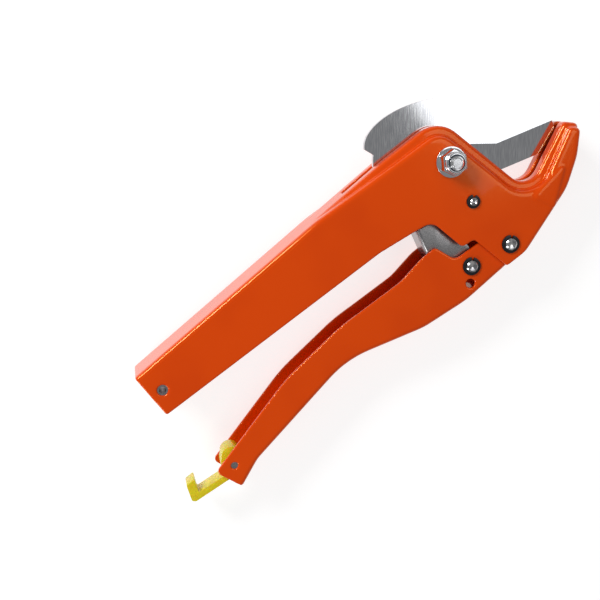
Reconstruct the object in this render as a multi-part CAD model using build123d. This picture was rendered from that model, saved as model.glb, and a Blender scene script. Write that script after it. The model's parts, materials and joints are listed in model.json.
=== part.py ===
from build123d import *
import math
import os

os.makedirs("parts", exist_ok=True)

# Ratchet pipe cutter, lying on its side. Millimetres, +Z up. X runs along the upper handle
# towards the jaw, Y from the lower handle to the upper one. Everything is drawn about the
# blade's pivot, in the middle plane of the tool, and set on its resting place at the end.

# Sheet and widths
sheet = 1.8               # folded sheet of body and lower handle
body_width = 23.0         # over the body's cheeks
cheek_gap = 0.4           # between body cheek and handle cheek, and handle cheek and pawl
rim_width = 16.6          # over the stepped rim round the blade slot
rim_inset = 4.2           # how far the step stands in from the rim
pawl_sheet = 1.6          # folded sheet of the drive pawl
blade_thick = 2.8
slot_gap = 0.35           # between blade and the lips of its slot, each side
running = 0.05            # radial running fit of pins, and side play of the blade
clear = 0.4               # free gap between pieces that pass each other

# Pivots, from the photograph
handle_pivot = (1.3, -45.2)
pawl_pivot = (-17.8, -43.2)
stop_place = (-1.7, -19.8)
spring_hole = (-22.4, -49.4)
latch_pivot = (-152.6, -50.2)
hang_hole = (-155.9, -3.3)

# Pins and holes
bolt_radius = 3.0         # M6
pin_radius = 2.5          # handle pin and pawl pin
stop_radius = 1.7
latch_pin_radius = 1.5
hex_across = 10.0
hex_chamfer = 0.5
bolt_head = 4.0
bolt_past = 1.3           # bolt past the nut
bolt_chamfer = 0.7
nut_height = 8.6
nut_hex_height = 6.4
flange_radius = 6.6
flange_thick = 1.0
flange_rise = 1.1
flange_lip = 0.3          # flat rim round the flange's cone
flange_taper = 68.0
collar_inset = 0.35       # the round collar over the nut's hexagon
collar_fillet = 0.9
ring_radius = 4.1         # nylon ring in the nut
ring_height = 1.7
ring_lip = 0.5            # the nut's lip, rolled over the ring
spring_hole_radius = 2.05
hang_radius = 2.3
handle_clip_turn = 110.0  # which way the clips' mouths point
pawl_clip_turn = 10.0
stop_clip_turn = 0.0
head_thick = 1.5          # pin heads on the far side
head_over = 1.5           # how far a pin head stands out past its pin
clip_thick = 0.7
clip_radius = 4.0
stop_clip_radius = 3.1
clip_ring_gap = 0.45      # between pin and the clip's ring
clip_lug_reach = 0.6      # the clip's lugs run this far out from the pin
clip_grip_play = 0.03     # between the clip's lugs and the bottom of the groove
lug_share = 1.15          # width of a side lug, of the neck's radius
mouth_share = 0.93        # half width of the clip's mouth, of the neck's radius
groove_depth = 0.6
groove_play = 0.05        # between the clip's faces and its groove
pin_chamfer = 0.4
pin_head_fillet = 0.6
pin_end = 1.1             # pin past its clip
spacer_radius = 5.6
washer_thick = 0.8
washer_play = 0.1         # radial play of washers, spacers and sleeves
washer_radius = 8.5
head_washer_radius = 6.6
sleeve_wall = 1.4
stop_sleeve_gap = 1.0     # between a stop pin sleeve and the blade

# Upper handle and head, outline corners
end_x = -162.0
end_top = 8.0
end_bottom = -13.1
end_lean = 0.7            # the handle's end leans back this much towards its lower corner
end_radius = 1.0
crest_left = (-24.0, 17.0)
crest = (7.1, 17.6)
crest_radius = 13.0
throat = (21.9, -32.4)
throat_radius = 8.0
nose_top = (51.3, -16.9)
nose_tip = (56.6, -21.6)
nose_radius = 2.1
nose_cap = 1.9            # how far the step stands in from the nose's end
nose_inset = 2.3          # and from the saddle beside the nose
chin_a = (47.5, -32.2)
chin_b = (36.0, -41.0)
chin_radius = 26.0
heel = (6.5, -52.4)
heel_left = (-5.3, -52.6)
notch_low = (-10.5, -33.9)
notch_out = (-16.7, -33.3)
notch_top = (-21.2, -16.2)
grip_front = (-30.0, -15.0)
grip_back = (-47.0, -13.2)
web_start = 9.3           # the jaw's back web begins this far right of the blade pivot
slot_back = -44.0         # the blade slot in the top web begins here
slot_past = 2.2           # and cuts this far past the web's inner face
slot_lift = 8.0           # height of the slot's cut above the back
fade_from = -62.0         # the step beside the rim fades in from here
fade_to = -34.0
fade_share = 0.55         # of the step's inset reached where the fade ends
bend = 2.0                # outside radius of the folds

# Cheek relief, a raised triangle pressed into each jaw cheek
relief_corners = [(44.2, -29.6, 1.8), (19.6, -34.0, 2.2), (26.0, -44.9, 1.8)]
relief_height = 0.7
relief_slope = 1.2
relief_edge = 0.05        # height of the relief's foot

# Lower handle, outline corners
low_tip_top = (-160.9, -47.6)
low_top_a = (-112.0, -33.2)
low_top_b = (-80.0, -29.3)
low_top_c = (-47.0, -29.6)
low_top_d = (-34.0, -27.0)
low_shoulder = (-26.0, -26.7)
low_dip = (-21.8, -36.6)
low_neck = (-9.0, -36.6)
low_heel = (-8.0, -53.2)
low_belly_a = (-28.0, -54.8)
low_belly_b = (-50.0, -53.0)
low_waist = (-86.0, -43.3)
low_flare = (-143.0, -54.6)
low_tip_bottom = (-155.6, -60.3)
low_end_radius = 7.4

# Blade
bevel_width = 11.7
edge_land = 0.3           # thickness left at the cutting edge
grind_past = 2.0          # the grinding cut runs this far off the metal
heel_grind_back = 8.0     # reach of the rear grinding, along the split and round the heel
heel_grind_side = 1.5
heel_grind_reach = 16.0
edge_heel = (10.0, -13.0)
edge_point = (18.2, -18.9)
edge_tip = (46.2, -26.2)
front_mid = (50.3, -7.0)
front_top = (50.8, -9.4)
back_points = [
    (-25.6, 24.9),
    (-23.2, 27.7),
    (-14.5, 30.6),
    (-5.3, 30.2),
    (13.9, 23.1),
    (30.4, 10.8),
    (48.6, -5.2),
]
tooth_pitch = 12.0
tooth_count = 6
tooth_first = 151.0       # angle of the first tooth's steep face
tooth_tip = 31.5
tooth_root = 29.4
tooth_lean = 0.6          # a tooth's steep face leans by this angle
hook_end = 222.0          # angle where the toothed arm ends
hook_slant = 5.0          # the arm's outer corner is this angle before its inner one
slot_lead = 1.0           # the arc slot runs this angle past the stop pin's open place
hub_lead = 6.0            # and its hub side this angle past the closed one
blade_closed = -6.0
blade_open = 52.0

# Handle and latch travel
handle_closed = -12.0
handle_open = 12.0
pawl_ratio = -1.45

# Drive pawl
pawl_top = (-28.7, -16.4)
pawl_left = (-31.6, -32.0)
pawl_boss = 5.0
pawl_nose_width = 10.8
pawl_nose_drop = 1.4
pawl_foot = (0.6, 1.0)    # where the back runs into the boss, from the boss's left
pawl_open = 9.0           # the channel's cut runs this far past the nose
pawl_front = (-14.4, -27.0)
pawl_bend = 1.9
pawl_web_from = 4.0       # the web begins this far up from the pawl's left corner

# Latch
latch_head = 5.6
latch_bump = 4.4
latch_bump_place = (1.0, 2.9)
latch_strap = 2.7
latch_strap_drop = 2.7    # the strap runs this far below the latch's pivot
latch_reach = 20.1
latch_hook_thick = 4.5
latch_hook_height = 6.2
latch_angle = 176.0
latch_width = 10.0
latch_boss = 3.6
hook_lean = 1.9
hook_nip = 0.4            # the hook's outer corner stands this far below its inner one
hook_corner = (1.5, 1.1)  # the bevelled corner between strap and hook
pin_set_back = 0.6
keeper_bore = 1.5         # tubular keeper pressed into the hang hole, which the hook catches
press_gap = 0.02          # drawn gap of pressed fits

# Springs
spring_wire = 1.0
handle_wire = 1.2
pawl_spring_turns = 3
pawl_spring_side = 1.4    # from the pawl's far cheek to the middle of the first turn
pawl_spring_start = 200.0
handle_spring_turns = 3
handle_spring_side = 5.9  # from the handle's near cheek to the middle of the first turn
handle_spring_start = 150.0
pawl_spring_legs = (9.0, 5.0)
handle_spring_legs = (7.0, 7.0)
spring_play = 0.3         # between a coil and what it sits on
spring_gap = 0.15         # between turns

half = body_width / 2
inner = half - sheet
rim_half = rim_width / 2
low_half = inner - cheek_gap
low_inner = low_half - sheet
pawl_half = low_inner - cheek_gap
pawl_inner = pawl_half - pawl_sheet
blade_half = blade_thick / 2
far = 60.0                # reach of cutting shapes past the part
far_down = far + 40.0     # and below it, past the lower handle


def corner_face(corners):
    """Closed outline from (x, y, corner radius) entries."""
    points = [(x, y) for x, y, r in corners]
    radii = [r for x, y, r in corners]
    return make_face(FilletPolyline(*points, radius=radii, close=True))


def slab(face, low, high):
    """The outline as a plate between two heights."""
    return extrude(Location((0, 0, low)) * face, amount=high - low, dir=(0, 0, 1))


def disc(place, radius, low, high):
    return slab(Location((place[0], place[1], 0)) * Circle(radius), low, high)


def ring(place, radius, bore, low, high):
    return disc(place, radius, low, high) - disc(place, bore, low, high)


def polar(radius, degrees):
    a = math.radians(degrees)
    return (radius * math.cos(a), radius * math.sin(a))


def top_line(x):
    """Height of the upper handle's back at x."""
    rise = (crest_left[1] - end_top) / (crest_left[0] - end_x)
    return end_top + (x - end_x) * rise


def inset_corner(before, at, after, first, second):
    """The corner moved inwards: first off the edge before it, second off the edge after it."""
    d1 = Vector(*at) - Vector(*before)
    d2 = Vector(*after) - Vector(*at)
    d1 = d1.normalized()
    d2 = d2.normalized()
    n1 = Vector(d1.Y, -d1.X)
    n2 = Vector(d2.Y, -d2.X)
    p1 = Vector(*at) + n1 * first
    p2 = Vector(*at) + n2 * second
    cross = d1.X * d2.Y - d1.Y * d2.X
    gap = p2 - p1
    along = (gap.X * d2.Y - gap.Y * d2.X) / cross
    hit = p1 + d1 * along
    return (hit.X, hit.Y)


# Body: the full outline has the rim's width, and a wider plate stands on it inside the step
chin_side = [
    (*nose_tip, nose_radius),
    (*chin_a, chin_radius),
    (*chin_b, chin_radius),
]
open_side = [
    (*heel, 12.0),
    (*heel_left, 1.5),
    (*notch_low, 1.5),
    (*notch_out, 2.2),
    (*notch_top, 5.5),
    (*grip_front, 12.0),
    (*grip_back, 20.0),
]
rim_side = [
    (*crest_left, 30.0),
    (*crest, crest_radius),
    (*throat, throat_radius),
    (*nose_top, nose_radius),
]
crest_in = inset_corner(crest_left, crest, throat, rim_inset, rim_inset)
throat_in = inset_corner(crest, throat, nose_top, rim_inset, rim_inset)
nose_in = inset_corner(throat, nose_top, nose_tip, nose_inset, nose_cap)
tip_in = inset_corner(nose_top, nose_tip, chin_a, nose_cap, 0.0)
fade_start = (fade_from, top_line(fade_from))
fade_end = (fade_to, top_line(fade_to) - fade_share * rim_inset)
wide_side = [
    (*fade_start, 60.0),
    (*fade_end, 20.0),
    (*crest_in, crest_radius - rim_inset),
    (*throat_in, throat_radius + rim_inset),
    (*nose_in, nose_radius),
    (*tip_in, nose_radius),
]
end_side = [
    (end_x + end_lean, end_bottom, end_radius),
    (end_x, end_top, 0.0),
]
rim_face = corner_face(rim_side + chin_side + open_side + end_side)

# The folds are drawn on outlines that run past the open lower side and the open end, and the
# real outline then trims them
web_y = chin_b[1] + (heel[1] - chin_b[1]) * (chin_b[0] - web_start) / (chin_b[0] - heel[0])
past = [
    (web_start, web_y, 0.0),
    (web_start, -far_down, 0.0),
    (end_x - far, -far_down, 0.0),
    (end_x - far, top_line(end_x - far), 0.0),
]
heel_past = [
    (heel[0] - far, heel[1] - far * (chin_b[1] - heel[1]) / (chin_b[0] - heel[0]), 0.0),
    (end_x - far, -far_down, 0.0),
    (end_x - far, top_line(end_x - far), 0.0),
]


def folded(face, reach, radius):
    """A slab with its edges rolled over, as the sheet is where it folds."""
    block = slab(face, -reach, reach)
    rims = [e for e in block.edges() if abs(abs(e.center().Z) - reach) < 0.001]
    return fillet(rims, radius)


rim_block = folded(corner_face(rim_side + chin_side + heel_past), rim_half, bend)
wide_block = folded(corner_face(wide_side + chin_side[1:] + heel_past), half, bend)
rim_hollow = offset(corner_face(rim_side + chin_side + past), -sheet, kind=Kind.INTERSECTION)
wide_hollow = offset(corner_face(wide_side + chin_side[1:] + past), -sheet, kind=Kind.INTERSECTION)
body = (rim_block + wide_block) & slab(rim_face, -half, half)
body -= folded(rim_hollow, rim_half - sheet, bend - sheet)
body -= folded(wide_hollow, inner, bend - sheet)

press = slab(corner_face(relief_corners), half - sheet / 2, half + relief_height)
press = chamfer(press.edges().group_by(Axis.Z)[-1], relief_height - relief_edge, relief_slope)
body += press + mirror(press, about=Plane.XY)

# Slot for the blade, from the top web over the crest, round the throat and through the nose
slot_half = blade_half + slot_gap
slot_depth = sheet + slot_past
lip_path = [
    (slot_back, top_line(slot_back) + slot_lift, 0.0),
    (far, top_line(slot_back) + slot_lift, 0.0),
    (far, -12.0, 0.0),
    (nose_tip[0] - 2.6, nose_tip[1] - 0.4, 0.0),
    (nose_top[0] - 3.4, nose_top[1] - 4.6, 0.0),
    (throat[0] + 8.4, throat[1] + 1.3, 2.0),
    (throat[0] - 2.8, throat[1] + 2.0, 4.0),
    (crest[0] - 4.0, crest[1] - 8.0, 4.0),
    (slot_back, top_line(slot_back) - slot_depth, 0.0),
]
body -= slab(corner_face(lip_path), -slot_half, slot_half)

for place, radius in (
    ((0.0, 0.0), bolt_radius + running),
    (handle_pivot, pin_radius + running),
    (stop_place, stop_radius + running),
    (hang_hole, hang_radius),
):
    body -= disc(place, radius, -far, far)

# Lower handle
low_top = [
    (*low_tip_top, 2.2),
    (*low_top_a, 70.0),
    (*low_top_b, 60.0),
    (*low_top_c, 20.0),
    (*low_top_d, 10.0),
    (*low_shoulder, 2.2),
    (*low_dip, 4.0),
    (*low_neck, 3.0),
    (handle_pivot[0], handle_pivot[1] + low_end_radius, 0.0),
]
low_bottom = [
    (*low_belly_a, 40.0),
    (*low_belly_b, 30.0),
    (*low_waist, 45.0),
    (*low_flare, 15.0),
    (*low_tip_bottom, 1.2),
]
low_face = corner_face(
    low_top + [(handle_pivot[0], handle_pivot[1] - low_end_radius, 0.0), (*low_heel, 6.0)] + low_bottom
)
low_face += Location((*handle_pivot, 0)) * Circle(low_end_radius)
low_way = (low_tip_bottom[1] - low_flare[1]) / (low_tip_bottom[0] - low_flare[0])
low_past_end = (low_flare[0] - far, low_flare[1] - far * low_way, 0.0)
heel_way = (low_heel[1] - low_belly_a[1]) / (low_heel[0] - low_belly_a[0])
low_sky = [
    low_past_end,
    (low_flare[0] - far, far, 0.0),
    (far, far, 0.0),
]
low_past_mouth = low_sky + [(far, low_heel[1] + heel_way * (far - low_heel[0]), 0.0)]
low_open_mouth = low_sky + [
    (far, -far_down, 0.0),
    (low_heel[0], -far_down, 0.0),
    (*low_heel, 0.0),
]
low_hollow = offset(corner_face(low_bottom[:-1] + low_open_mouth), -sheet, kind=Kind.INTERSECTION)
low_outer = corner_face(low_bottom[:-1] + low_past_mouth)
lower_handle = folded(low_outer, low_half, bend) & slab(low_face, -low_half, low_half)
lower_handle -= folded(low_hollow, low_inner, bend - sheet)
for place, radius in (
    (handle_pivot, pin_radius + running),
    (pawl_pivot, pin_radius + running),
    (spring_hole, spring_hole_radius),
    (latch_pivot, latch_pin_radius + running),
):
    lower_handle -= disc(place, radius, -far, far)

# Blade: plate with a ground bevel both sides, ratchet teeth on the rear arc, and an arc slot
# that the stop pin runs in
stop_arc = math.hypot(*stop_place)
stop_angle = math.degrees(math.atan2(stop_place[1], stop_place[0])) % 360
hub_radius = stop_arc - stop_radius - clear
slot_radius = stop_arc + stop_radius + clear
slot_from = stop_angle - blade_open - slot_lead
hub_until = stop_angle - blade_closed + hub_lead
rear_from = tooth_first - tooth_pitch
rear_start = polar(tooth_tip, rear_from)
teeth = []
for k in range(tooth_count):
    steep = tooth_first + k * tooth_pitch
    teeth.append(polar(tooth_tip, steep))
    teeth.append(polar(tooth_root, steep + tooth_lean))
arm_end = polar(tooth_root, hook_end - hook_slant)
arm_inner = polar(slot_radius, hook_end)
hub_start = polar(hub_radius, hook_end)
hub_end = polar(hub_radius, hub_until)
blade_outline = Curve() + [
    Spline(*back_points),
    ThreePointArc(back_points[-1], front_mid, front_top),
    Line(front_top, edge_tip),
    Line(edge_tip, edge_point),
    Line(edge_point, edge_heel),
    Line(edge_heel, hub_end),
    ThreePointArc(hub_end, polar(hub_radius, (hook_end + hub_until) / 2), hub_start),
    Line(hub_start, arm_inner),
    Polyline(arm_inner, arm_end, *reversed(teeth)),
    ThreePointArc(teeth[0], polar(tooth_tip, (tooth_first + rear_from) / 2), rear_start),
    Line(rear_start, back_points[0]),
]
blade = slab(make_face(blade_outline), -blade_half, blade_half)
slot_sweep = (hook_end + hub_lead - slot_from) / 3
slot_corners = [(0, 0)] + [polar(far, slot_from + k * slot_sweep) for k in range(4)]
arc_slot = (Circle(slot_radius) - Circle(hub_radius)) & make_face(Polyline(*slot_corners, (0, 0)))
slot_round = Location((*polar(stop_arc, slot_from), 0)) * Circle(stop_radius + clear)
blade -= slab(arc_slot + slot_round, -far, far)
blade -= disc((0, 0), bolt_radius + running, -far, far)

# Ground bevel: a wedge comes off each side along both stretches of the edge. The stretches
# meet in the line that halves the angle at the piercing point
land = edge_land / 2


def bevel_cut(a, b, side):
    """The metal ground away on one side along the edge from a to b."""
    run = Vector(b[0] - a[0], b[1] - a[1]).normalized()
    inwards = Vector(-run.Y, run.X)
    section = make_face(
        Polyline(
            (0, land),
            (bevel_width, blade_half),
            (bevel_width, blade_half + grind_past),
            (-grind_past, blade_half + grind_past),
            (-grind_past, land),
            (0, land),
        )
    )
    plane = Plane(origin=Vector(*a) - run * far, x_dir=inwards, z_dir=run)
    cut = extrude(plane * section, amount=2 * far + (Vector(*b) - Vector(*a)).length)
    if plane.y_dir.Z * side < 0:
        cut = mirror(cut, about=Plane.XY)
    return cut


run_a = (Vector(*edge_heel) - Vector(*edge_point)).normalized()
run_b = (Vector(*edge_tip) - Vector(*edge_point)).normalized()
split_way = (run_a + run_b).normalized()
split_end = Vector(*edge_point) + split_way * far
below = Vector(*edge_point) - split_way * far
front_zone = make_face(
    Polyline((below.X, below.Y), (far, -far), (far, far), (split_end.X, split_end.Y), (below.X, below.Y))
)
rear_zone = make_face(
    Polyline(
        (below.X, below.Y),
        (split_end.X, split_end.Y),
        (split_end.X - heel_grind_back, split_end.Y),
        (edge_heel[0] - heel_grind_side, edge_heel[1] + heel_grind_reach),
        (edge_heel[0] - heel_grind_side, edge_heel[1] - heel_grind_reach),
        (below.X, below.Y),
    )
)
for side in (-1, 1):
    blade -= bevel_cut(edge_point, edge_tip, side) & slab(front_zone, -far, far)
    blade -= bevel_cut(edge_heel, edge_point, side) & slab(rear_zone, -far, far)

# Blade pivot: bolt from the far side, washer under its head, spacers and washers beside the
# blade, flange nut with its nylon ring on the near side
washer_face = blade_half + running
spacer_face = washer_face + washer_thick
pivot = (0.0, 0.0)
nut_base = half
nut_top = nut_base + nut_height
bolt_tip = nut_top + bolt_past
bolt = disc(pivot, bolt_radius, -half - washer_thick, bolt_tip)
bolt = chamfer(bolt.edges().sort_by(Axis.Z)[-1], bolt_chamfer)
hexagon = RegularPolygon(radius=hex_across / 2, side_count=6, major_radius=False)
head_low = -half - washer_thick - bolt_head
head_high = -half - washer_thick
hex_round = disc(pivot, hex_across / 2 / math.cos(math.radians(30)), head_low, head_high)
hex_round = chamfer(hex_round.edges().sort_by(Axis.Z)[0], hex_chamfer, 2 * hex_chamfer)
pivot_bolt = bolt + (slab(hexagon, head_low, head_high) & hex_round)
bolt_washer = ring(pivot, head_washer_radius, bolt_radius + washer_play, head_high, -half)

flange = disc(pivot, flange_radius, nut_base, nut_base + flange_thick)
cone_foot = Location((0, 0, nut_base + flange_thick)) * Circle(flange_radius - flange_lip)
flange_cone = extrude(cone_foot, amount=flange_rise, taper=flange_taper)
nut_hex = slab(hexagon, nut_base, nut_base + nut_hex_height)
collar = disc(pivot, hex_across / 2 - collar_inset, nut_base, nut_top)
collar = fillet(collar.edges().sort_by(Axis.Z)[-1], collar_fillet)
pivot_nut = flange + flange_cone + nut_hex + collar
pivot_nut -= disc(pivot, bolt_radius + running, nut_base - 1, nut_top + 1)
ring_high = nut_top - ring_lip
ring_low = ring_high - ring_height
pivot_nut -= disc(pivot, ring_radius, ring_low, ring_high)
pivot_nut -= disc(pivot, ring_radius - ring_lip, ring_low, nut_top + 1)
nut_ring = ring(
    pivot,
    ring_radius - press_gap,
    bolt_radius + press_gap,
    ring_low + press_gap,
    ring_high - press_gap,
)

pivot_spacers = []
blade_washers = []
for side in (-1, 1):
    low, high = sorted((side * spacer_face, side * inner))
    pivot_spacers.append(ring(pivot, spacer_radius, bolt_radius + washer_play, low, high))
    low, high = sorted((side * washer_face, side * spacer_face))
    blade_washers.append(ring(pivot, washer_radius, bolt_radius + washer_play, low, high))


def headed_pin(place, radius, cheek):
    """Pin with a head against the far cheek and a clip groove past the near one."""
    groove_low = cheek + groove_play
    groove_high = groove_low + clip_thick + 2 * groove_play
    top = groove_high + pin_end
    pin = disc(place, radius, -cheek - head_thick, top)
    pin = chamfer(pin.edges().sort_by(Axis.Z)[-1], pin_chamfer)
    knob = disc(place, radius + head_over, -cheek - head_thick, -cheek)
    knob = fillet(knob.edges().sort_by(Axis.Z)[0], pin_head_fillet)
    pin = pin + knob
    return pin - ring(place, radius + 1, radius - groove_depth, groove_low, groove_high)


def e_clip(place, radius, outer, cheek, turn):
    """Open retaining clip in the pin's groove, with three lugs, its mouth turned from +X."""
    neck = radius - groove_depth + clip_grip_play
    low = cheek + 2 * groove_play
    body_ring = Circle(outer) - Circle(radius + clip_ring_gap)
    lugs = Circle(radius + clip_lug_reach) - Circle(neck)
    sector = Rectangle(2 * outer, neck * lug_share, align=(Align.CENTER, Align.CENTER))
    back = Location((0, 0, 0), (0, 0, 90)) * Rectangle(2 * outer, neck)
    keep = (lugs & sector) + (lugs & back)
    mouth = Location((outer, 0)) * Rectangle(2 * outer, 2 * neck * mouth_share)
    clip = (body_ring + keep) - mouth
    face = Location((place[0], place[1], low), (0, 0, turn)) * clip
    return extrude(face, amount=clip_thick, dir=(0, 0, 1))


handle_pin = headed_pin(handle_pivot, pin_radius, half)
handle_pin_clip = e_clip(handle_pivot, pin_radius, clip_radius, half, handle_clip_turn)
sleeve_reach = low_inner - running
handle_sleeve_radius = pin_radius + sleeve_wall
sleeve_bore = pin_radius + washer_play
handle_pin_sleeve = ring(handle_pivot, handle_sleeve_radius, sleeve_bore, -sleeve_reach, sleeve_reach)
pawl_pin = headed_pin(pawl_pivot, pin_radius, low_half)
pawl_pin_clip = e_clip(pawl_pivot, pin_radius, clip_radius, low_half, pawl_clip_turn)
stop_pin = headed_pin(stop_place, stop_radius, half)
stop_pin_clip = e_clip(stop_place, stop_radius, stop_clip_radius, half, stop_clip_turn)
stop_sleeve_radius = stop_radius + sleeve_wall
stop_sleeve_bore = stop_radius + washer_play
stop_pin_sleeves = []
for side in (-1, 1):
    low, high = sorted((side * (blade_half + stop_sleeve_gap), side * inner))
    stop_pin_sleeves.append(ring(stop_place, stop_sleeve_radius, stop_sleeve_bore, low, high))

# Drive pawl: U-channel whose web end pushes the teeth
boss_left = (pawl_pivot[0] - pawl_boss, pawl_pivot[1])
boss_right = (pawl_pivot[0] + pawl_boss, pawl_pivot[1])
pawl_corner = (pawl_top[0] + pawl_nose_width, pawl_top[1] - pawl_nose_drop)
pawl_outline = [
    (*pawl_top, 0.4),
    (*pawl_left, 4.0),
    (boss_left[0] + pawl_foot[0], boss_left[1] + pawl_foot[1], pawl_foot[1]),
    (pawl_pivot[0], pawl_pivot[1] - pawl_foot[1], 0.0),
    (*boss_right, 0.0),
    (*pawl_front, 6.0),
    (*pawl_corner, 3.0),
]
pawl_face = corner_face(pawl_outline) + Location((*pawl_pivot, 0)) * Circle(pawl_boss)
web_run = Vector(pawl_top[0] - pawl_left[0], pawl_top[1] - pawl_left[1]).normalized()
web_inwards = Vector(web_run.Y, -web_run.X)
web_ends = [Vector(*pawl_left) + web_run * reach for reach in (-far, far)]
web_sides = web_ends + [end + web_inwards * far for end in reversed(web_ends)]
web_side_face = corner_face([(v.X, v.Y, 0.0) for v in web_sides])
drive_pawl = folded(web_side_face, pawl_half, pawl_bend) & slab(pawl_face, -pawl_half, pawl_half)
web_in = web_inwards * pawl_sheet
web_low = Vector(*pawl_left) + web_run * pawl_web_from
nose_past = Vector(*pawl_top) + web_in + web_run * pawl_open
hollow_outline = [
    (nose_past.X, nose_past.Y, 0.0),
    (web_low.X + web_in.X, web_low.Y + web_in.Y, 0.0),
    (web_low.X - far, web_low.Y, 0.0),
    (web_low.X - far, -far_down, 0.0),
    (far, -far_down, 0.0),
    (far, pawl_top[1] + pawl_open, 0.0),
]
drive_pawl -= slab(corner_face(hollow_outline), -pawl_inner, pawl_inner)
drive_pawl -= disc(pawl_pivot, pin_radius + running, -far, far)


def coil(place, radius, wire, turns, low, start, legs):
    """Torsion spring: a close coil with a straight leg at each end."""
    pitch = wire + spring_gap
    height = pitch * turns
    helix = Location((place[0], place[1], low), (0, 0, start)) * Helix(pitch, height, radius)
    section = Plane(origin=helix @ 0, z_dir=helix % 0) * Circle(wire / 2)
    spring = sweep(section, path=helix)
    for point, way, length in ((helix @ 0, helix % 0 * -1, legs[0]), (helix @ 1, helix % 1, legs[1])):
        spring += extrude(Plane(origin=point, z_dir=way) * Circle(wire / 2), amount=length)
    return spring


pawl_spring = coil(
    pawl_pivot,
    pin_radius + spring_wire / 2 + spring_play,
    spring_wire,
    pawl_spring_turns,
    pawl_spring_side - pawl_inner,
    pawl_spring_start,
    pawl_spring_legs,
)
handle_spring = coil(
    handle_pivot,
    handle_sleeve_radius + handle_wire / 2 + spring_play,
    handle_wire,
    handle_spring_turns,
    low_inner - handle_spring_side,
    handle_spring_start,
    handle_spring_legs,
)

# Latch: moulded head between the cheeks, a flat arm and a hook
head_disc = Location((*latch_pivot, 0)) * Circle(latch_head)
bump = Location((*latch_pivot, 0)) * Location((*latch_bump_place, 0)) * Circle(latch_bump)
latch_low = slab(head_disc + bump, -latch_width / 2, latch_width / 2)
hook_out = latch_reach + latch_hook_thick
strap_low = latch_strap_drop + latch_strap
latch_hook = corner_face(
    [
        (0.0, latch_strap_drop, 0.0),
        (latch_reach, latch_strap_drop, 0.6),
        (latch_reach - hook_lean, latch_strap_drop - latch_hook_height, 0.5),
        (hook_out - hook_lean, latch_strap_drop - latch_hook_height + hook_nip, 0.8),
        (hook_out, strap_low - hook_corner[1], 1.2),
        (hook_out - hook_corner[0], strap_low, 0.8),
        (0.0, strap_low, 0.0),
    ]
)
latch_strap_part = slab(latch_hook, -latch_width / 2, latch_width / 2)
latch = latch_low + Location((*latch_pivot, 0), (0, 0, latch_angle)) * latch_strap_part
boss_reach = low_inner - cheek_gap
latch += disc(latch_pivot, latch_boss, -boss_reach, boss_reach)
latch -= disc(latch_pivot, latch_pin_radius + running, -far, far)
keeper_reach = half - pin_set_back
latch_keeper = ring(hang_hole, hang_radius - press_gap, keeper_bore, -keeper_reach, keeper_reach)
latch_pin = disc(latch_pivot, latch_pin_radius, -low_half + pin_set_back, low_half - pin_set_back)

shapes = {
    "body_shell": [body],
    "blade": [blade],
    "pivot_bolt": [pivot_bolt],
    "bolt_washer": [bolt_washer],
    "pivot_nut": [pivot_nut],
    "nut_ring": [nut_ring],
    "pivot_spacers": pivot_spacers,
    "blade_washers": blade_washers,
    "lower_handle": [lower_handle],
    "handle_pin": [handle_pin],
    "handle_pin_sleeve": [handle_pin_sleeve],
    "handle_pin_clip": [handle_pin_clip],
    "handle_spring": [handle_spring],
    "pawl_pin": [pawl_pin],
    "pawl_pin_clip": [pawl_pin_clip],
    "stop_pin": [stop_pin],
    "stop_pin_clip": [stop_pin_clip],
    "stop_pin_sleeves": stop_pin_sleeves,
    "drive_pawl": [drive_pawl],
    "pawl_spring": [pawl_spring],
    "latch": [latch],
    "latch_pin": [latch_pin],
    "latch_keeper": [latch_keeper],
}

# The part rests on its far side: origin under the middle of its box, at the height of what
# it lies on
box = Compound([s for group in shapes.values() for s in group]).bounding_box()
seat = Vector(-(box.min.X + box.max.X) / 2, -(box.min.Y + box.max.Y) / 2, -box.min.Z)
for name, group in shapes.items():
    placed = [solid for s in group for solid in (Location(seat) * s).solids()]
    export_step(placed[0] if len(placed) == 1 else Compound(placed), "parts/" + name + ".step")
print("seat", seat, "size", box.size)
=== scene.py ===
import bpy
import json
import math
from mathutils import Matrix, Vector


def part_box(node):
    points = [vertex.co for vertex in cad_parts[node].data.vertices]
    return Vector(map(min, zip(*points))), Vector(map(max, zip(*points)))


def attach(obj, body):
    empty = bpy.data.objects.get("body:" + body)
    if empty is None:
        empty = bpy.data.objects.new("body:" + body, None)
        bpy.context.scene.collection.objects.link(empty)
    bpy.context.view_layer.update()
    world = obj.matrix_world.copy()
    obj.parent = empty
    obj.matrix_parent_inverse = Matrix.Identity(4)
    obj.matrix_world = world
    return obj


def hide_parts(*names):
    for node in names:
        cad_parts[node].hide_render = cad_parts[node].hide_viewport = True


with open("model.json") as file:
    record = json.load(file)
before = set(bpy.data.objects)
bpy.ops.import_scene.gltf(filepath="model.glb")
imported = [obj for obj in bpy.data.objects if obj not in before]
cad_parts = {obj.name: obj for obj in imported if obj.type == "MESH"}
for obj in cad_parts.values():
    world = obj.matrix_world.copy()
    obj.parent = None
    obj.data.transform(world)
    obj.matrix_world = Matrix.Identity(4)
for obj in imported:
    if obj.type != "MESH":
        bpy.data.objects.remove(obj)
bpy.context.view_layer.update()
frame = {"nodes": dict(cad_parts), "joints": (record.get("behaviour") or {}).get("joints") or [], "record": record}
bpy.ops.object.select_all(action="DESELECT")

# The table that the cutter lies on: a pale sheet, lit a little from under, as on a light table.
# Every place is given from the blade's pivot, which is where the cutter is drawn from.
JOINTS = {joint["name"]: joint for joint in frame["joints"]}
PIVOT = Vector(JOINTS["blade_turn"]["pos_m"])
MM = 0.001


def place(x, y, z=0.0):
    """A point in millimetres from the blade's pivot, as metres in the frame."""
    return PIVOT + Vector((x, y, z)) * MM


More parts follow.
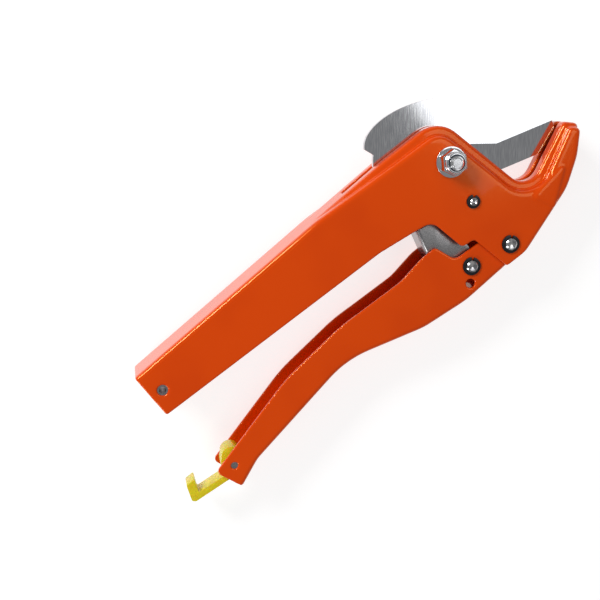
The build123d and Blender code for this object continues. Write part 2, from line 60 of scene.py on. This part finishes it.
FLOOR_SIZE = 6.0
FLOOR_COLOUR = (0.40, 0.40, 0.40, 1.0)
FLOOR_GLOW = 0.74
bpy.ops.mesh.primitive_plane_add(size=FLOOR_SIZE, location=(0.0, 0.0, 0.0))
floor = bpy.context.object
floor.name = "table_top"
floor_finish = bpy.data.materials.new("table_top")
floor_finish.use_nodes = True
floor_shader = floor_finish.node_tree.nodes["Principled BSDF"]
floor_shader.inputs["Base Color"].default_value = FLOOR_COLOUR
floor_shader.inputs["Roughness"].default_value = 0.7
floor_shader.inputs["Emission Color"].default_value = (1.0, 1.0, 1.0, 1.0)
floor_shader.inputs["Emission Strength"].default_value = FLOOR_GLOW
floor.data.materials.append(floor_finish)

# The view, from above the near cheek, and the soft lights round the table: one high beyond the
# upper handle, one low at the handle's end, and one whose reflection whitens the blade's flat.
EYE = place(-94.61, 104.01, 456.57)
EYE_RIGHT = Vector((0.79581, -0.58359, 0.16159))
EYE_UP = Vector((0.60528, 0.77444, -0.18403))
EYE_BACK = Vector((-0.01774, 0.24427, 0.96955))
LENS_MM = 64.8
camera_data = bpy.data.cameras.new("camera")
camera_data.lens = LENS_MM
camera_data.sensor_width = 36.0
camera = bpy.data.objects.new("camera", camera_data)
turn = Matrix((EYE_RIGHT, EYE_UP, EYE_BACK)).transposed().to_4x4()
camera.matrix_world = Matrix.Translation(EYE) @ turn
bpy.context.scene.collection.objects.link(camera)
bpy.context.scene.camera = camera


def softbox(name, where, towards, sides, watts):
    """A rectangular soft light that faces a point, or straight down without one."""
    data = bpy.data.lights.new(name, "AREA")
    data.shape = "RECTANGLE"
    data.size, data.size_y = sides
    data.energy = watts
    light = bpy.data.objects.new(name, data)
    aim = Matrix.Identity(4)
    if towards:
        aim = (towards - where).to_track_quat("-Z", "Y").to_matrix().to_4x4()
    light.matrix_world = Matrix.Translation(where) @ aim
    bpy.context.scene.collection.objects.link(light)


softbox("key_light", place(-250, 800, 560), place(-40, -10), (0.36, 0.28), 6.2)
softbox("end_light", place(-850, -150, 420), place(-60, -10), (0.3, 0.3), 1.9)
softbox("blade_light", place(370, -15, 800), None, (0.39, 0.45), 0.95)
ROOM = 0.27
world = bpy.data.worlds.new("white_room")
world.use_nodes = True
world.node_tree.nodes["Background"].inputs["Color"].default_value = (1.0, 1.0, 1.0, 1.0)
world.node_tree.nodes["Background"].inputs["Strength"].default_value = ROOM
bpy.context.scene.world = world
bpy.context.scene.view_settings.view_transform = "Standard"


# The body: one sheet of steel, folded and drawn into the upper handle, the head and the
# fixed jaw, then dipped in a thick glossy orange enamel that rounds every edge.
class Level:
    """A shader value that adds Math nodes where it is used in an expression."""

    def __init__(self, finish, socket):
        self.finish = finish
        self.socket = socket

    def maths(self, operation, *values):
        return self.finish.node("ShaderNodeMath", {"operation": operation}, dict(enumerate(values)))

    def __add__(self, other):
        return self.maths("ADD", self, other)

    def __radd__(self, other):
        return self.maths("ADD", other, self)

    def __sub__(self, other):
        return self.maths("SUBTRACT", self, other)

    def __rsub__(self, other):
        return self.maths("SUBTRACT", other, self)

    def __mul__(self, other):
        return self.maths("MULTIPLY", self, other)

    def __rmul__(self, other):
        return self.maths("MULTIPLY", other, self)

    def __abs__(self):
        return self.maths("ABSOLUTE", self)

    def step(self, start, end):
        """0 below start, 1 above end, smooth between them."""
        settings = {"interpolation_type": "SMOOTHSTEP"}
        sockets = {"Value": self, "From Min": start, "From Max": end}
        return self.finish.node("ShaderNodeMapRange", settings, sockets)


class Finish:
    """A material on the Principled shader, whose nodes are added one by one."""

    def __init__(self, name, **fixed):
        self.material = bpy.data.materials.new(name)
        self.material.use_nodes = True
        self.tree = self.material.node_tree
        self.shader = self.tree.nodes["Principled BSDF"]
        for words, value in fixed.items():
            self.shader.inputs[words.replace("_", " ")].default_value = value
        self.places = self.node("ShaderNodeTexCoord", {}, {}, "Object")

    def node(self, kind, settings, sockets, output=0):
        made = self.tree.nodes.new(kind)
        for name, value in settings.items():
            setattr(made, name, value)
        for name, value in sockets.items():
            if isinstance(value, Level):
                self.tree.links.new(value.socket, made.inputs[name])
            else:
                made.inputs[name].default_value = value
        return Level(self, made.outputs[output])

    def moved(self, turn=(0.0, 0.0, 0.0), scale=(1.0, 1.0, 1.0)):
        """The object's coordinates, turned and then stretched."""
        turned = self.node("ShaderNodeMapping", {}, {"Vector": self.places, "Rotation": turn})
        return self.node("ShaderNodeMapping", {}, {"Vector": turned, "Scale": scale})

    def noise(self, scale, detail=2.0, where=None, roughness=0.5):
        sockets = {"Vector": where or self.places, "Scale": scale, "Detail": detail, "Roughness": roughness}
        return self.node("ShaderNodeTexNoise", {}, sockets)

    def blend(self, share, first, second):
        """From the first colour to the second."""
        settings = {"data_type": "RGBA"}
        return self.node("ShaderNodeMix", settings, {0: share, 6: first, 7: second}, 2)

    def bump(self, height, depth, under=None):
        sockets = {"Height": height, "Distance": depth, "Strength": 1.0}
        if under:
            sockets["Normal"] = under
        return self.node("ShaderNodeBump", {}, sockets)

    def joined(self, **links):
        for words, value in links.items():
            self.tree.links.new(value.socket, self.shader.inputs[words.replace("_", " ")])
        return self.material


NODE_BODIES = {node: body for body, nodes in frame["record"]["behaviour"]["bodies"].items() for node in nodes}


def fitted(piece, node, material):
    """The piece stands for the node, in its material and on its body."""
    piece.data.materials.clear()
    piece.data.materials.append(material)
    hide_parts(node)
    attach(piece, NODE_BODIES[node])


def chosen(piece):
    """Only this piece is selected and worked on."""
    bpy.ops.object.select_all(action="DESELECT")
    piece.select_set(True)
    bpy.context.view_layer.objects.active = piece


def applied(piece, kind, **settings):
    """A modifier with these settings, applied to the piece."""
    modifier = piece.modifiers.new("shaping", kind)
    for name, value in settings.items():
        setattr(modifier, name, value)
    chosen(piece)
    bpy.ops.object.modifier_apply(modifier=modifier.name)


def copied(node, name):
    """A copy of the node's shape, with its loose triangles merged."""
    piece = frame["nodes"][node].copy()
    piece.data = piece.data.copy()
    piece.name = name
    piece.parent = None
    bpy.context.scene.collection.objects.link(piece)
    chosen(piece)
    bpy.ops.object.mode_set(mode="EDIT")
    bpy.ops.mesh.select_all(action="SELECT")
    bpy.ops.mesh.remove_doubles(threshold=2e-6)
    bpy.ops.object.mode_set(mode="OBJECT")
    return piece


def dipped(node, name, grain, passes, keep, material):
    """The node's shape with the rounding that a thick coat gives all its edges and corners."""
    piece = copied(node, name)
    applied(piece, "REMESH", mode="VOXEL", voxel_size=grain)
    applied(piece, "SMOOTH", factor=0.5, iterations=passes)
    applied(piece, "DECIMATE", ratio=keep)
    chosen(piece)
    bpy.ops.object.shade_smooth()
    applied(piece, "WEIGHTED_NORMAL", weight=80)
    fitted(piece, node, material)
    return piece


ORANGE = (0.78, 0.062, 0.0, 1.0)
ORANGE_DEEP = (0.72, 0.052, 0.0, 1.0)
GLOSS_TINT = (1.0, 0.62, 0.16, 1.0)
enamel = Finish("orange_enamel", Specular_Tint=GLOSS_TINT, Coat_Weight=0.22, Coat_Roughness=0.03, IOR=1.6)
pooled = enamel.noise(30.0, 2.0)
peel = enamel.noise(420.0, 1.0)
orange_enamel = enamel.joined(
    Base_Color=enamel.blend(pooled.step(0.35, 0.75), ORANGE, ORANGE_DEEP),
    Roughness=0.10 + 0.05 * pooled,
    Normal=enamel.bump(peel, 0.00001),
)
dipped("body_shell", "upper_handle_pressing", 0.0004, 14, 0.33, orange_enamel)

# The lower handle: a channel pressed from the same sheet and dipped in the same enamel.
dipped("lower_handle", "lower_handle_pressing", 0.0004, 12, 0.42, orange_enamel)

# The blade: stainless plate, polished nearly to a mirror, with short fine strokes across it
# from the finishing belt, a ground bevel, and a small chamfer round its back.
def edged(node, name, width, material, angle, segments=1):
    """The node's shape with its sharp edges taken off."""
    piece = copied(node, name)
    applied(
        piece,
        "BEVEL",
        width=width,
        segments=segments,
        limit_method="ANGLE",
        angle_limit=math.radians(40.0),
        miter_outer="MITER_ARC",
    )
    chosen(piece)
    bpy.ops.object.shade_smooth_by_angle(angle=math.radians(angle))
    fitted(piece, node, material)
    return piece


steel = Finish("blade_steel", Metallic=1.0)
ALONG_BLADE = math.radians(36.0)
strokes = steel.noise(1.0, 3.0, steel.moved((0.0, 0.0, ALONG_BLADE), (2600.0, 170.0, 170.0)))
cloud = steel.noise(70.0, 2.0)
blade_steel = steel.joined(
    Base_Color=steel.blend(strokes.step(0.35, 0.7), (0.56, 0.57, 0.60, 1.0), (0.74, 0.75, 0.77, 1.0)),
    Roughness=0.055 + 0.045 * strokes + 0.02 * cloud,
    Normal=steel.bump(strokes, 0.0000025),
)
edged("blade", "toothed_blade", 0.00016, blade_steel, 3.0)

# The pivot: a bright bolt with a washer under its head on the far side, and a flanged lock nut
# on the near side, all bright zinc under a clear passivation.
bright = Finish("bright_plate", Metallic=1.0)
veil = bright.noise(260.0, 3.0)
bright_plate = bright.joined(
    Base_Color=bright.blend(veil, (0.60, 0.61, 0.64, 1.0), (0.82, 0.83, 0.85, 1.0)),
    Roughness=0.10 + 0.10 * veil,
    Normal=bright.bump(veil, 0.00001),
)
edged("pivot_nut", "flanged_lock_nut", 0.00022, bright_plate, 35.0, 2)


def dress(material, *nodes):
    """Puts a material on nodes of the frame."""
    for name in nodes:
        piece = frame["nodes"][name]
        piece.data.materials.clear()
        piece.data.materials.append(material)


dress(bright_plate, "pivot_bolt", "bolt_washer")

# The ring in the nut: blue-grey nylon, which the bolt's thread has bitten into.
nylon = Finish("nylon_ring", Subsurface_Weight=0.1, Subsurface_Scale=0.001)
bite = nylon.noise(1500.0, 2.0)
nylon_ring = nylon.joined(
    Base_Color=nylon.blend(bite, (0.030, 0.040, 0.055, 1.0), (0.075, 0.095, 0.125, 1.0)),
    Roughness=0.32 + 0.2 * bite,
    Normal=nylon.bump(bite, 0.00002),
)
dress(nylon_ring, "nut_ring")

# The drive pawl and the turned pins, washers and sleeves: mild steel with a zinc plate that is
# finely speckled by the tumbling barrel.
zinc = Finish("zinc_plate", Metallic=1.0)
bloom = zinc.noise(150.0, 3.0)
speckle = zinc.noise(2600.0, 2.0)
zinc_plate = zinc.joined(
    Base_Color=zinc.blend(speckle.step(0.3, 0.7), (0.26, 0.26, 0.27, 1.0), (0.50, 0.49, 0.49, 1.0)),
    Roughness=0.22 + 0.10 * bloom + 0.08 * speckle,
    Normal=zinc.bump(speckle, 0.000012),
)
edged("drive_pawl", "plated_pawl", 0.00022, zinc_plate, 30.0, 2)
dress(zinc_plate, "latch_pin", "latch_keeper")
dress(zinc_plate, "handle_pin_sleeve", "stop_pin_sleeves", "pivot_spacers", "blade_washers")


# The pins: turned from bright bar, each with a low round head on the far side, a groove for its
# clip, and a bevelled near end that the cutting-off tool left with a small crater.
def turned(name, centre, stations):
    """A round piece about an upright axis, from (height, radius) stations, closed at both ends."""
    low, radius = stations[0]
    bpy.ops.mesh.primitive_circle_add(
        vertices=48, radius=radius * MM, fill_type="NGON", location=place(*centre, low)
    )
    piece = bpy.context.object
    piece.name = name
    bpy.ops.object.transform_apply(location=True, rotation=True, scale=True)
    bpy.ops.object.mode_set(mode="EDIT")
    bpy.ops.mesh.select_all(action="SELECT")
    for (z0, r0), (z1, r1) in zip(stations, stations[1:]):
        bpy.ops.mesh.extrude_region_move(TRANSFORM_OT_translate={"value": (0.0, 0.0, (z1 - z0) * MM)})
        share = r1 / r0
        middle = place(*centre, z1)
        bpy.ops.transform.resize(value=(share, share, 1.0), center_override=middle)
    bpy.ops.mesh.select_all(action="SELECT")
    bpy.ops.mesh.normals_make_consistent(inside=False)
    bpy.ops.object.mode_set(mode="OBJECT")
    bpy.ops.object.shade_smooth_by_angle(angle=math.radians(22.0))
    return piece


def reach(node):
    """Lowest and highest points of a node, in millimetres from the blade's pivot."""
    low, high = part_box(node)
    return (low[2] - PIVOT.z) / MM, (high[2] - PIVOT.z) / MM


def middle(node):
    """The middle of a node, seen from above, in millimetres from the blade's pivot."""
    low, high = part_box(node)
    return ((low[0] + high[0]) / 2 - PIVOT.x) / MM, ((low[1] + high[1]) / 2 - PIVOT.y) / MM


HEAD_THICK = 1.5
HEAD_OVER = 1.5
END_BEVEL = 0.55
CRATER = 0.42
GROOVE_DEPTH = 0.6


def pin(node, name, radius):
    """A headed pin, with a groove at its clip and a bevelled, cratered near end."""
    low, high = reach(node)
    clip_low, clip_high = reach(node + "_clip")
    head = radius + HEAD_OVER
    stations = [
        (low, head - 0.9),
        (low + 0.12, head - 0.5),
        (low + 0.6, head),
        (low + HEAD_THICK, head),
        (low + HEAD_THICK + 0.001, radius),
        (clip_low - 0.05, radius),
        (clip_low - 0.049, radius - GROOVE_DEPTH),
        (clip_high + 0.049, radius - GROOVE_DEPTH),
        (clip_high + 0.05, radius),
        (high - END_BEVEL, radius),
        (high - 0.12, radius - END_BEVEL),
        (high, radius - END_BEVEL - 0.2),
        (high - 0.08, 0.5 * radius),
        (high - CRATER, 0.2 * radius),
        (high - CRATER - 0.02, 0.04 * radius),
    ]
    piece = turned(name, middle(node), stations)
    fitted(piece, node, pin_steel)
    return piece


pin_finish = Finish("pin_steel", Metallic=1.0)
facet = pin_finish.noise(520.0, 1.0)
chatter = pin_finish.noise(1800.0, 2.0)
pin_steel = pin_finish.joined(
    Base_Color=pin_finish.blend(facet.step(0.4, 0.6), (0.36, 0.36, 0.38, 1.0), (0.80, 0.80, 0.80, 1.0)),
    Roughness=0.12 + 0.12 * chatter,
    Normal=pin_finish.bump(facet, 0.00025),
)
pin("handle_pin", "handle_pin_turned", 2.5)
pin("pawl_pin", "pawl_pin_turned", 2.5)
pin("stop_pin", "stop_pin_turned", 1.7)

# The near end of the pivot bolt: three turns of thread standing out of the nut, and a bevelled
# tip with the shallow crater that the heading tool left.
BOLT_RADIUS = 3.0
THREAD_PITCH = 0.5
THREAD_DEPTH = 0.28
TIP_BEVEL = 0.75
bolt_tip = reach("pivot_bolt")[1]
thread_low = reach("nut_ring")[0]
thread_high = bolt_tip - TIP_BEVEL
thread = []
height = thread_low
while height < thread_high - THREAD_PITCH:
    thread.append((height, BOLT_RADIUS + 0.02))
    thread.append((height + 0.5 * THREAD_PITCH, BOLT_RADIUS - THREAD_DEPTH))
    height += THREAD_PITCH
thread.append((thread_high, BOLT_RADIUS + 0.02))
thread.append((bolt_tip + 0.02, BOLT_RADIUS - TIP_BEVEL))
thread.append((bolt_tip + 0.03, BOLT_RADIUS - TIP_BEVEL - 0.25))
thread.append((bolt_tip - 0.25, 0.9))
thread.append((bolt_tip - 0.38, 0.35))
thread.append((bolt_tip - 0.40, 0.05))
bolt_end = turned("bolt_thread_end", (0.0, 0.0), thread)
bolt_end.data.materials.append(pin_steel)
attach(bolt_end, NODE_BODIES["pivot_bolt"])

# The clips: nearly closed rings stamped from spring steel and blacked in an oil bath, each
# snapped into its pin's groove with its narrow mouth upwards.
black = Finish("black_oxide", Metallic=0.4)
grain = black.noise(900.0, 2.0)
black_oxide = black.joined(
    Base_Color=black.blend(grain, (0.006, 0.006, 0.008, 1.0), (0.022, 0.022, 0.026, 1.0)),
    Roughness=0.26 + 0.15 * grain,
    Normal=black.bump(grain, 0.00001),
)
MOUTH_TURN = math.radians(48.0)
MOUTH_HALF = 0.5


def ring_clip(pin_name, name, bore, outer):
    """A flat ring about the pin, opened by a narrow mouth."""
    node = pin_name + "_clip"
    low, high = reach(node)
    centre = middle(pin_name)
    bpy.ops.mesh.primitive_circle_add(vertices=64, radius=bore * MM, location=place(*centre, low))
    piece = bpy.context.object
    piece.name = name
    bpy.ops.object.transform_apply(location=True, rotation=True, scale=True)
    bpy.ops.object.mode_set(mode="EDIT")
    bpy.ops.mesh.select_mode(type="VERT")
    bpy.ops.mesh.select_all(action="SELECT")
    bpy.ops.mesh.extrude_region_move()
    share = outer / bore
    bpy.ops.transform.resize(value=(share, share, 1.0), center_override=place(*centre, low))
    bpy.ops.mesh.select_all(action="DESELECT")
    bpy.ops.object.mode_set(mode="OBJECT")
    along = Vector((math.cos(MOUTH_TURN), math.sin(MOUTH_TURN), 0.0))
    across = Vector((-along.y, along.x, 0.0))
    hub = place(*centre, low)
    for face in piece.data.polygons:
        off = face.center - hub
        face.select = off.dot(along) > 0 and abs(off.dot(across)) < MOUTH_HALF * MM
    bpy.ops.object.mode_set(mode="EDIT")
    bpy.ops.mesh.select_mode(type="FACE")
    bpy.ops.mesh.delete(type="FACE")
    bpy.ops.mesh.select_mode(type="VERT")
    bpy.ops.mesh.select_all(action="SELECT")
    bpy.ops.mesh.extrude_region_move(TRANSFORM_OT_translate={"value": (0.0, 0.0, high * MM - low * MM)})
    bpy.ops.mesh.select_all(action="SELECT")
    bpy.ops.mesh.normals_make_consistent(inside=False)
    bpy.ops.object.mode_set(mode="OBJECT")
    applied(piece, "BEVEL", width=0.00012, segments=2, limit_method="ANGLE", angle_limit=math.radians(50.0))
    chosen(piece)
    bpy.ops.object.shade_smooth_by_angle(angle=math.radians(30.0))
    fitted(piece, node, black_oxide)


ring_clip("handle_pin", "handle_pin_ring", 1.95, 4.0)
ring_clip("pawl_pin", "pawl_pin_ring", 1.95, 4.0)
ring_clip("stop_pin", "stop_pin_ring", 1.15, 3.0)

# The springs inside the head and on the pawl: hard-drawn wire, oiled and dull.
wire = Finish("spring_wire", Metallic=1.0)
draw = wire.noise(900.0, 2.0)
spring_wire = wire.joined(
    Base_Color=wire.blend(draw, (0.18, 0.18, 0.19, 1.0), (0.34, 0.34, 0.35, 1.0)),
    Roughness=0.30 + 0.15 * draw,
    Normal=wire.bump(draw, 0.00001),
)
dress(spring_wire, "handle_spring", "pawl_spring")

# The latch: one moulding in translucent yellow plastic, with soft mould edges.
yellow = Finish("yellow_plastic", Transmission_Weight=0.25, Subsurface_Weight=0.35, Subsurface_Scale=0.0025, IOR=1.49)
flow = yellow.noise(140.0, 2.0)
yellow_plastic = yellow.joined(
    Base_Color=yellow.blend(flow, (0.80, 0.66, 0.004, 1.0), (0.90, 0.80, 0.02, 1.0)),
    Roughness=0.22 + 0.1 * flow,
    Normal=yellow.bump(flow, 0.00003),
)
edged("latch", "latch_moulding", 0.00045, yellow_plastic, 35.0, 3)
